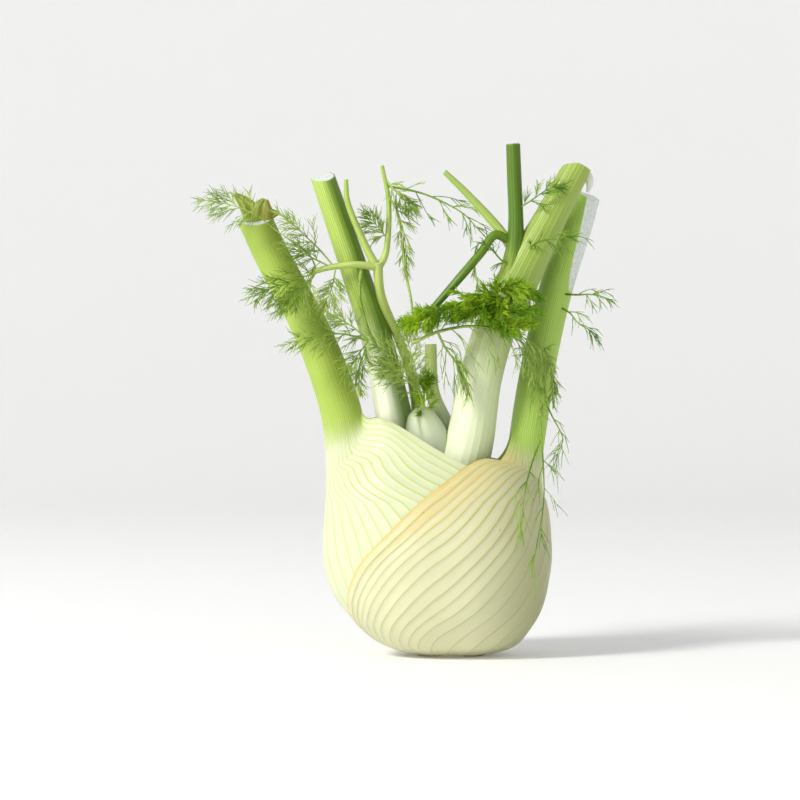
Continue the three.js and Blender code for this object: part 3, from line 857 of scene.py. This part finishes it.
def root_material():
    material = bpy.data.materials.new("root_cut")
    material.use_nodes = True
    tree = material.node_tree
    place = object_place(tree)
    rings = put(tree, "ShaderNodeTexWave", {
        "Vector": place, "Scale": 170.0, "Distortion": 5.0, "Detail": 2.0, "Detail Scale": 2.0,
    }, wave_type="RINGS", rings_direction="Z").outputs[1]
    grain = noise(tree, place, 600.0, 4.0)
    radius = put(tree, "ShaderNodeVectorMath", {0: place}, operation="LENGTH").outputs["Value"]
    color = tint(tree, rings, (0.62, 0.54, 0.34, 1), (0.78, 0.74, 0.52, 1))
    color = tint(tree, ramp(tree, radius, 0.010, 0.0155), color, (0.36, 0.25, 0.12, 1))
    color = tint(tree, times(tree, grain, 0.35), color, (0.30, 0.22, 0.12, 1))
    shader = tree.nodes["Principled BSDF"]
    tree.links.new(color, shader.inputs["Base Color"])
    shader.inputs["Roughness"].default_value = 0.8
    bump = put(tree, "ShaderNodeBump", {"Height": grain, "Strength": 0.5, "Distance": 0.0005})
    tree.links.new(bump.outputs[0], shader.inputs["Normal"])
    return material


build_leaf("root_cut_end", "root_end", [(96, 40, root_sheet)], [root_material()])

# %% [markdown]
# ## How a frond grows
# A fennel leaf blade is all threads: a thin midrib, twigs to both sides, finer twigs on those, and every
# one ends in soft threads half a millimetre thick. Modelling them by hand is hopeless, so a few lines of
# growth do it. A twig is one open curve with a round bevel and a radius at each point, which costs eight
# faces or so. The rules are those of the plant: twigs leave at about 45 degrees, alternate from side to
# side, get shorter towards the tip and hang a little. The random numbers are seeded, so each run grows the
# same frond.
# %% Growing threads
GROWTH = random.Random(11)
STEPS = (0, 6, 3, 2)             # steps of a twig, by its order
THINNING = (0, 1.15, 0.95, 0.8)  # thickness of a twig, by its order
MIDRIB_POINTS = 22


def jitter(amount):
    return Vector([GROWTH.uniform(-amount, amount) for _ in range(3)])


def thread(curve, points, radii, finish):
    spline = curve.splines.new("POLY")
    spline.points.add(len(points) - 1)
    for point, place, radius in zip(spline.points, points, radii):
        point.co = (place.x * MM, place.y * MM, place.z * MM, 1)
        point.radius = radius
    spline.material_index = finish


def grow(curve, start, heading, face, length, order, style):
    """One twig and everything on it. Order 1 is a side twig, 2 its branches and 3 the last threads."""
    steps = STEPS[order]
    radius = style["thread"] * THINNING[order]
    place = start.copy()
    heading = heading.normalized()
    points = [place.copy()]
    for step in range(steps):
        heading = (heading + Vector((0, 0, -style["droop"] / steps)) + jitter(style["wander"])).normalized()
        place = place + heading * (length / steps)
        points.append(place.copy())
        if order == 3 or (order == 2 and step == steps - 1):
            continue
        for side in (-1, 1):
            if GROWTH.random() > style["fullness"] * (1.0 if order == 1 else style["forks"]):
                continue
            lean = math.radians(GROWTH.uniform(16, 30))
            tilted = (face + jitter(style["bushy"])).normalized()
            sideways = heading.cross(tilted) * side
            child = heading * math.cos(lean) + sideways * math.sin(lean)
            child += tilted * GROWTH.uniform(-0.25, 0.25)
            left = 1 - (step + 0.5) / steps
            size = length * (0.34 + 0.26 * left) * GROWTH.uniform(0.8, 1.25)
            between = points[-2].lerp(points[-1], GROWTH.uniform(0.2, 1))
            grow(curve, between, child, tilted, max(size, style["least"]), order + 1, style)
    radii = [radius * (1 - 0.6 * i / steps) for i in range(steps + 1)]
    thread(curve, points, radii, order - 1 if order < 3 else 2)


def frond_on(curve, points, reach, style, stout=1.0):
    """A midrib through the points, with twigs up to reach long beyond its bare part. Reach 0 grows none."""
    path = through(points)
    shares = np.linspace(0, 1, MIDRIB_POINTS)
    line = [Vector(place) for place in path(shares)]
    rib = style["thread"] * style["midrib"] * stout
    thread(curve, line, [rib * (1 - 0.65 * share / stout) for share in shares], 0)
    if not reach:
        return
    side = 1
    count = style["stations"]
    for i in range(count):
        t = style["bare"] + (1 - style["bare"]) * (i + GROWTH.uniform(0.1, 0.9)) / count
        place = Vector(path(t))
        heading = (Vector(path(min(t + 0.03, 1.0))) - Vector(path(max(t - 0.03, 0.0)))).normalized()
        face = (Vector((0, -1, 0)) + jitter(style["bushy"])).normalized()
        side = -side
        toward = (t - style["bare"]) / (1 - style["bare"])
        lean = math.radians(GROWTH.uniform(38, 62) * (1 - 0.55 * toward))
        child = heading * math.cos(lean) + heading.cross(face) * side * math.sin(lean)
        child += face * GROWTH.uniform(-0.25, 0.45)
        full = 0.55 + 0.45 * math.sin(math.pi * min(1, 0.25 + 0.9 * toward))
        grow(curve, place, child, face, reach * full * GROWTH.uniform(0.7, 1.1), 1, style)
    tip = line[-1] - line[-2]
    grow(curve, line[-1], tip, Vector((0, -1, 0)), reach * 0.6, 1, style)


print("steps of a side twig, its branches and the last threads:", STEPS[1:])

# %% [markdown]
# ## Frond green
# A thread is too thin for a pattern along it, so what counts is that neighbours differ. The colour comes
# from noise on the Object coordinate, from deep to light green, and each order of twigs can take its own
# pair of greens.
# %% Frond materials
def frond_material(name, deep, light):
    material = bpy.data.materials.new(name)
    material.use_nodes = True
    tree = material.node_tree
    place = object_place(tree)
    broad = noise(tree, place, 70.0, 2.0)
    fine = noise(tree, place, 700.0, 2.0)
    share = ramp(tree, plus(tree, times(tree, broad, 0.65), times(tree, fine, 0.35)), 0.36, 0.64)
    shader = tree.nodes["Principled BSDF"]
    tree.links.new(tint(tree, share, deep, light), shader.inputs["Base Color"])
    tree.links.new(ramp(tree, fine, 0.3, 0.7, 0.42, 0.60), shader.inputs["Roughness"])
    shader.inputs["Subsurface Weight"].default_value = 0.1
    shader.inputs["Subsurface Radius"].default_value = (0.5, 1.0, 0.2)
    shader.inputs["Subsurface Scale"].default_value = 0.001
    shader.inputs["Specular IOR Level"].default_value = 0.35
    print(name, "runs from", deep[:3], "to", light[:3])
    return material


MIDRIB_GREEN = frond_material("midrib_green", (0.16, 0.28, 0.02, 1), (0.42, 0.56, 0.12, 1))
TWIG_GREEN = frond_material("twig_green", (0.09, 0.20, 0.01, 1), (0.28, 0.44, 0.04, 1))
THREAD_GREEN = frond_material("thread_green", (0.08, 0.19, 0.008, 1), (0.38, 0.55, 0.07, 1))
DARK_THREAD = frond_material("dark_thread_green", (0.03, 0.10, 0.003, 1), (0.13, 0.26, 0.012, 1))
DENSE_THREAD = frond_material("dense_thread_green", (0.09, 0.23, 0.002, 1), (0.36, 0.56, 0.015, 1))
FEATHER_GREENS = [MIDRIB_GREEN, TWIG_GREEN, THREAD_GREEN]
DARK_GREENS = [TWIG_GREEN, DARK_THREAD, TWIG_GREEN]
DENSE_GREENS = [DENSE_THREAD, DENSE_THREAD, DENSE_THREAD]

# %% [markdown]
# ## Four habits of growth
# The fronds differ in habit: open feathers, sparse sprays of few threads, one dense tuft like moss, and
# loose ones that hang. Each habit is one set of numbers, and the others are changed copies of the feather.
# thread is a radius in millimetres and least a length. fullness and forks are chances that a twig grows,
# bare is the share of the midrib without twigs, and droop, wander and bushy say how much it sags, strays
# and spreads.
# %% Frond habits
FEATHER = dict(
    thread=0.23, midrib=2.0, droop=0.2, wander=0.035, fullness=0.68, forks=0.12, bushy=0.28, stations=9,
    bare=0.15, least=4.4,
)
SPARSE = dict(
    FEATHER, droop=0.6, fullness=0.32, forks=0.5, bushy=0.6, stations=7, wander=0.10, midrib=2.4, least=5.0,
)
DENSE = dict(
    FEATHER, droop=0.15, fullness=0.95, forks=0.8, bushy=1.0, stations=30, wander=0.14, bare=0.0, least=3.2,
)
HANGING = dict(
    FEATHER, droop=0.9, fullness=0.42, forks=0.35, bushy=0.6, stations=12, least=6.5, wander=0.09,
)
print("twig places on each midrib:", FEATHER["stations"], SPARSE["stations"], DENSE["stations"])

# %% [markdown]
# ## The fronds
# Each frond is one piece and starts inside the stem that bears it. Every path is one midrib, and a frond
# has more than one where the real one forks. After the path comes the reach of its longest twigs in
# millimetres, and then, where it is stouter than the others, how many times so.
# %% Where the fronds grow
FRONDS = {
    "frond_left_tip": (FEATHER_GREENS, dict(FEATHER, bare=0.55, stations=11), [
        ([(-60, -11, 172.4), (-63, -13, 179), (-71, -14, 185.4), (-79, -14, 191), (-86, -14, 196.5),
          (-93, -14, 200), (-100, -14, 202), (-105, -14, 203)], 12),
    ]),
    "frond_upper_left": (FEATHER_GREENS, dict(FEATHER, bare=0.25), [
        ([(-52, -12, 173.7), (-59, -15, 182), (-66, -17, 188.5), (-71, -18, 193)], 13),
        ([(-53, -12, 173.7), (-62, -16, 178), (-68, -17, 181)], 10),
    ]),
    "frond_mid_left": (FEATHER_GREENS, dict(FEATHER, stations=15, bare=0.2), [
        ([(-51, -14, 174), (-64, -17, 170), (-75, -19, 166), (-83, -20, 163)], 15),
        ([(-61, -16, 171), (-67, -19, 163), (-73, -20, 158)], 10),
        ([(-51.5, -14, 174), (-53, -17, 165), (-56, -19, 158)], 8),
    ]),
    "frond_lower_left": (FEATHER_GREENS, dict(FEATHER, bare=0.1), [
        ([(-40, -12, 174.5), (-40.8, -15, 166), (-40.5, -17.5, 158), (-37, -19, 146),
          (-33, -18, 138)], 0, 2.1),
        ([(-37, -19, 141), (-48, -21, 144), (-59, -22.5, 143), (-68, -23, 141)], 13),
        ([(-37, -19, 141.5), (-45, -21, 148), (-51, -22, 151)], 6),
        ([(-37, -19, 141), (-42, -21, 134), (-45, -22, 129)], 9),
        ([(-38, -19, 138), (-41, -21, 128), (-41, -21, 121)], 3.5),
    ]),
    "frond_upper_middle": (FEATHER_GREENS, dict(FEATHER, bushy=0.8, stations=12), [
        ([(-28.5, -4, 207), (-24, -6, 199), (-21, -7, 188), (-20, -8, 177)], 9),
        ([(-29.5, -3, 214), (-25.5, -6, 209), (-21, -7, 204), (-18, -8, 201)], 6),
        ([(-28.4, -5, 187), (-32, -9, 191), (-36, -11, 196)], 8),
        ([(-22, -7, 186), (-20, -8, 170), (-18, -10, 160), (-17, -14, 150)], 0, 1.7),
    ]),
    "frond_arch": (DARK_GREENS, dict(SPARSE, bare=0.12, droop=0.35, stations=9), [
        ([(-29, -3, 211), (-12, -6, 207), (4, -9, 199), (12, -10, 191)], 15),
    ]),
    "frond_centre_left": (FEATHER_GREENS, dict(FEATHER, stations=12, bare=0.25), [
        ([(-12, -7, 108), (-15, -14, 120), (-23, -20, 131), (-31, -22, 139)], 12),
        ([(-15, -14, 119), (-22, -19, 126), (-29, -21, 129)], 11),
        ([(-14, -13, 119), (-17, -19, 132), (-20, -22, 142)], 9),
    ]),
    "frond_heart": (DENSE_GREENS, dict(DENSE, stations=16), [
        ([(-12, -5, 108), (-12, -8, 114), (-12, -9, 119), (-11, -10, 123)], 5.5),
    ]),
    "frond_dense": (DENSE_GREENS, dict(DENSE, stations=26, thread=0.27), [
        ([(24, -11, 157), (16, -24, 161), (4, -27, 158), (-6, -28, 153)], 9),
        ([(24, -11, 157), (20, -23, 163), (27, -27, 164), (34, -28, 162)], 8),
        ([(24, -11, 156), (20, -23, 155), (26, -27, 153), (33, -28, 154)], 9),
        ([(22, -20, 156), (17, -26, 152), (24, -28, 147), (31, -28, 148)], 7),
        ([(20, -22, 158), (13, -26, 156), (5, -28, 153)], 8),
        ([(-4, -27, 154), (-11, -27, 151), (-18, -25, 149)], 7),
    ]),
    "frond_hanging_arc": (FEATHER_GREENS, dict(HANGING, midrib=2.8), [
        ([(-17, -25, 140), (-7, -25, 144.6), (3.6, -24, 147), (12, -23, 147.3), (20.7, -22.5, 146),
          (28, -22, 142.5), (33, -21, 138)], 24, 1.2),
        ([(20, -10, 148), (20.5, -17, 148), (20.7, -22.5, 146)], 0),
        ([(-6, -25, 144), (-3, -24, 138), (2, -22, 131), (5, -21, 124)], 12),
    ]),
    "frond_over_branch": (DARK_GREENS, dict(SPARSE, stations=9), [
        ([(32, -14, 178), (37, -23, 184), (46, -25, 186), (54, -24, 187)], 9),
        ([(28, -13, 178), (23, -19, 176), (17, -21, 182), (12, -21, 184), (10, -21, 178), (11, -22, 168)], 4),
    ]),
    "frond_behind_stem": (DARK_GREENS, dict(FEATHER, stations=8), [
        ([(28, -13, 199), (35, -20, 203), (41, -22, 207), (46, -22, 209)], 7),
    ]),
    "frond_right": (DARK_GREENS, dict(SPARSE, bare=0.25, stations=4, droop=0.5), [
        ([(47, 6, 163), (56, -4, 162), (62, -8, 162), (67, -9, 161)], 9),
        ([(47, 6, 158), (53, -4, 154), (57, -8, 149), (62, -9, 146)], 8),
    ]),
    "frond_right_stalk": (FEATHER_GREENS, dict(HANGING, stations=20, bushy=0.9, droop=0.45, least=3.6), [
        ([(41, 4, 140), (37.5, -6, 137), (37.5, -9, 126), (41, -10, 113)], 11),
        ([(41, 4, 140), (43, -6, 135), (46, -8, 124), (46, -9, 116)], 8),
    ]),
    "frond_bulb_right": (DARK_GREENS, dict(
        SPARSE, stations=6, droop=0.5, bare=0.35, least=8.0, fullness=0.24, forks=0.1, wander=0.06,
    ), [
        ([(40, 4, 112), (40, -6, 104), (40.5, -21, 84), (40, -29, 68), (36, -35, 47)], 13),
        ([(40, -10, 98), (35, -24, 86), (32, -31, 75), (30, -35, 60)], 11),
        ([(41, 4, 118), (45, -6, 108), (50, -5, 98), (48, -8, 92)], 7),
    ]),
}
print("fronds:", len(FRONDS))

# %% [markdown]
# ## Turning paths into fronds
# All the threads of a frond are splines of one curve, because one object with a round bevel is far lighter
# than hundreds of meshes. A bevel resolution of zero gives each thread four sides, which is enough for
# something half a millimetre thick.
# %% Growing every frond
def add_frond(name, finishes, style, branches):
    curve = bpy.data.curves.new(name, "CURVE")
    curve.dimensions = "3D"
    curve.bevel_depth = MM
    curve.bevel_resolution = 0
    curve.use_fill_caps = True
    for points, reach, *stout in branches:
        frond_on(curve, points, reach, style, *stout)
    for material in finishes:
        curve.materials.append(material)
    piece = bpy.data.objects.new(name + "_threads", curve)
    bpy.context.scene.collection.objects.link(piece)
    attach(piece, "root")
    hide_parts(name)
    print(name, "has", len(curve.splines), "threads")


for name, (finishes, style, branches) in FRONDS.items():
    add_frond(name, finishes, style, branches)

# %% [markdown]
# ## The stage
# A plain white product setting suits a bright vegetable. The paper is one spun profile: flat where the bulb
# stands, then a wide curve up into a wall, so it shows no corner or horizon from any side. It glows a
# little, like paper lit from behind, which keeps it white without more lamps on the bulb.
# %% Paper bowl
def paper_material():
    material = bpy.data.materials.new("pale_paper")
    material.use_nodes = True
    tree = material.node_tree
    grain = noise(tree, object_place(tree), 400.0, 2.0)
    paper = tint(tree, grain, (0.87, 0.87, 0.87, 1), (0.90, 0.90, 0.90, 1))
    shader = tree.nodes["Principled BSDF"]
    tree.links.new(paper, shader.inputs["Base Color"])
    shader.inputs["Roughness"].default_value = 0.9
    shader.inputs["Specular IOR Level"].default_value = 0.1
    shader.inputs["Emission Color"].default_value = (1, 1, 1, 1)
    shader.inputs["Emission Strength"].default_value = 0.11
    return material


BEND = 1.7  # metres, both the flat part's radius and the radius of the bend into the wall
TURNS = np.linspace(0, math.pi / 2, 20)
CORNER = [(BEND + BEND * math.sin(a), BEND - BEND * math.cos(a)) for a in TURNS]
mesh = bmesh.new()
profile = [mesh.verts.new((x, 0, z)) for x, z in [(0, 0), (0.9, 0)] + CORNER + [(2 * BEND, 3.0)]]
edges = [mesh.edges.new(pair) for pair in zip(profile, profile[1:])]
bmesh.ops.spin(
    mesh, geom=profile + edges, cent=(0, 0, 0), axis=(0, 0, 1), angle=2 * math.pi, steps=72, use_merge=True,
)
bmesh.ops.remove_doubles(mesh, verts=mesh.verts, dist=1e-5)
bmesh.ops.recalc_face_normals(mesh, faces=mesh.faces)
data = bpy.data.meshes.new("paper_bowl")
mesh.to_mesh(data)
mesh.free()
data.shade_smooth()
data.materials.append(paper_material())
bowl = bpy.data.objects.new("paper_bowl", data)
scene = bpy.context.scene
scene.collection.objects.link(bowl)
print("the bowl has", len(data.polygons), "faces")

# %% [markdown]
# ## Light and camera
# One big disk lamp high on the left gives the ribs their shading and lets the right side fall off, and a
# pale sky fills the shadows. The long lens looks level at the middle of the bulb, as one does at a still
# life.
# %% Light and camera
scene.view_settings.view_transform = "Standard"
world = bpy.data.worlds.new("pale_room")
world.use_nodes = True
sky = world.node_tree.nodes["Background"]
sky.inputs["Color"].default_value = (0.96, 0.98, 1.0, 1)
sky.inputs["Strength"].default_value = 0.36
scene.world = world

disk = bpy.data.lights.new("key", "AREA")
disk.shape = "DISK"
disk.size = 0.8
disk.energy = 82
disk.color = (1, 0.985, 0.95)
key = bpy.data.objects.new("key", disk)
key.location = (-2.1, -1.55, 1.9)
key.rotation_euler = (Vector((0, 0, 0.1)) - key.location).to_track_quat("-Z", "Y").to_euler()
scene.collection.objects.link(key)

camera = bpy.data.objects.new("camera", bpy.data.cameras.new("camera"))
camera.data.lens = 120
camera.data.sensor_width = 36
camera.location = (-0.0229, -1.2, 0.1148)
camera.rotation_euler = (math.radians(90), 0, 0)
scene.collection.objects.link(camera)
scene.camera = camera
print("the camera stands", -camera.location.y, "m in front of the bulb")
